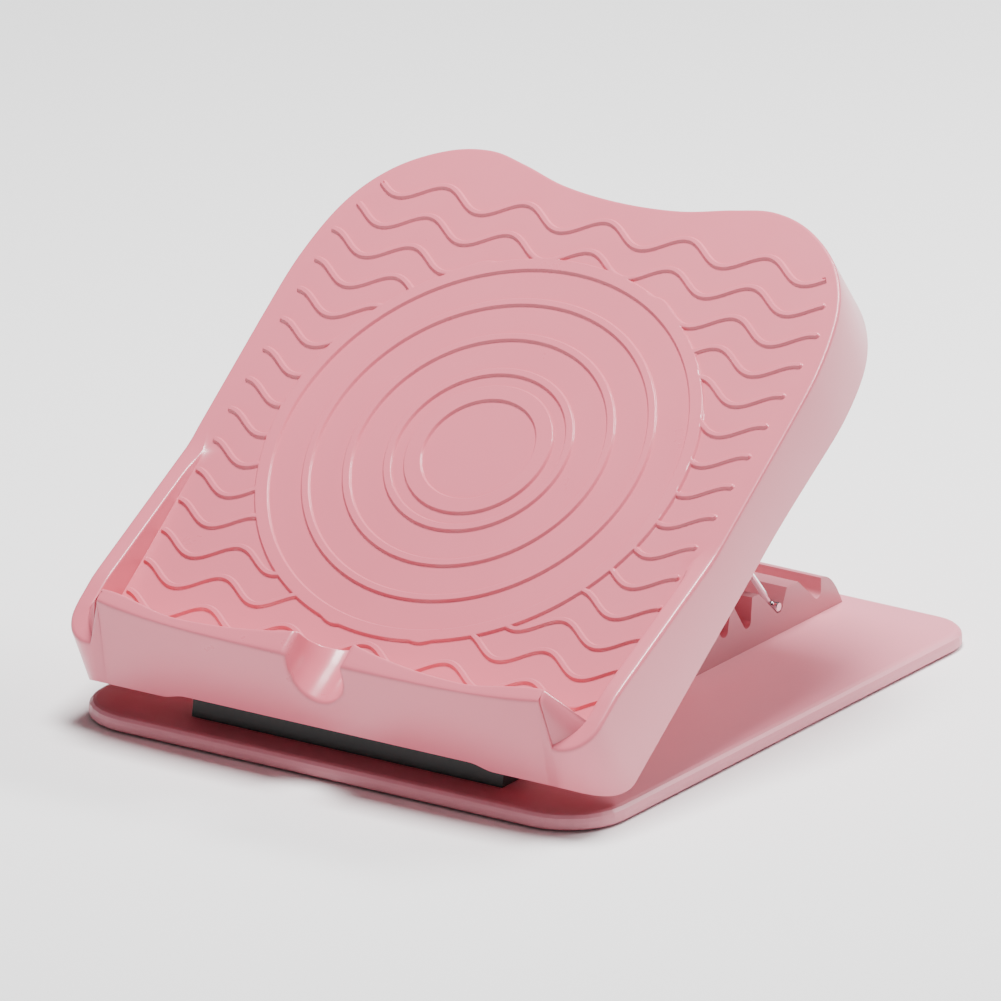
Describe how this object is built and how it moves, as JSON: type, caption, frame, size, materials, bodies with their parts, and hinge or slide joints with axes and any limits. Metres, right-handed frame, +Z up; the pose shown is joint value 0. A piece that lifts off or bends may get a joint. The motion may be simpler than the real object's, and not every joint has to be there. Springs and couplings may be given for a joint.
{
  "type": "slant board",
  "caption": "Folding slant board for calf stretching: hinged foot plate with massage ribs and a heel lip, on a base with notched racks and a wire stand.",
  "frame": {"origin": "on the floor under the centre of the bounding box", "axes": "+X to the right across the board, +Y from the heel lip to the toe end and the back of the base, +Z up"},
  "size_m": [0.278, 0.3256, 0.2081],
  "materials": {
    "plate_plastic": "satin moulded, pink",
    "base_plastic": "fine satin texture, pink",
    "rack_plastic": "satin moulded, pink",
    "hinge_plastic": "fine texture, black",
    "chrome": "polished",
    "steel": "zinc plated",
    "rubber": "matt"
  },
  "bodies": {
    "base": {"base_board": "base_plastic", "rubber_foot_left_front": "rubber", "rubber_foot_left_middle": "rubber", "rubber_foot_left_rear": "rubber", "rubber_foot_right_front": "rubber", "rubber_foot_right_middle": "rubber", "rubber_foot_right_rear": "rubber", "tooth_rack_left": "rack_plastic", "tooth_rack_right": "rack_plastic", "hinge_block": "hinge_plastic", "hinge_pin": "steel", "pin_cap_left": "steel", "pin_cap_right": "steel", "rack_screw_left_front": "steel", "rack_screw_left_rear": "steel", "rack_screw_right_front": "steel", "rack_screw_right_rear": "steel", "hinge_screw_left": "steel", "hinge_screw_right": "steel"},
    "plate": {"foot_plate": "plate_plastic", "plate_skirt": "plate_plastic", "heel_lip": "plate_plastic", "stand_clip_left": "rack_plastic", "stand_clip_right": "rack_plastic", "clip_screw_left_front": "steel", "clip_screw_left_rear": "steel", "clip_screw_right_front": "steel", "clip_screw_right_rear": "steel"},
    "stand": {"stand_wire": "chrome", "stand_crossbar": "chrome"}
  },
  "joints": [
    {"name": "plate_tilt", "type": "hinge", "parent": "base", "child": "plate", "pos_m": [0, -0.1256, 0.0205], "axis": [1, 0, 0], "range_deg": [0, 27]},
    {"name": "stand_swing", "type": "hinge", "parent": "plate", "child": "stand", "pos_m": [0, 0.00511, 0.12985], "axis": [1, 0, 0], "range_deg": [-30, 0]}
  ],
  "couplings": [
    {"joint": "stand_swing", "follows": "plate_tilt", "ratio": -1.1}
  ]
}
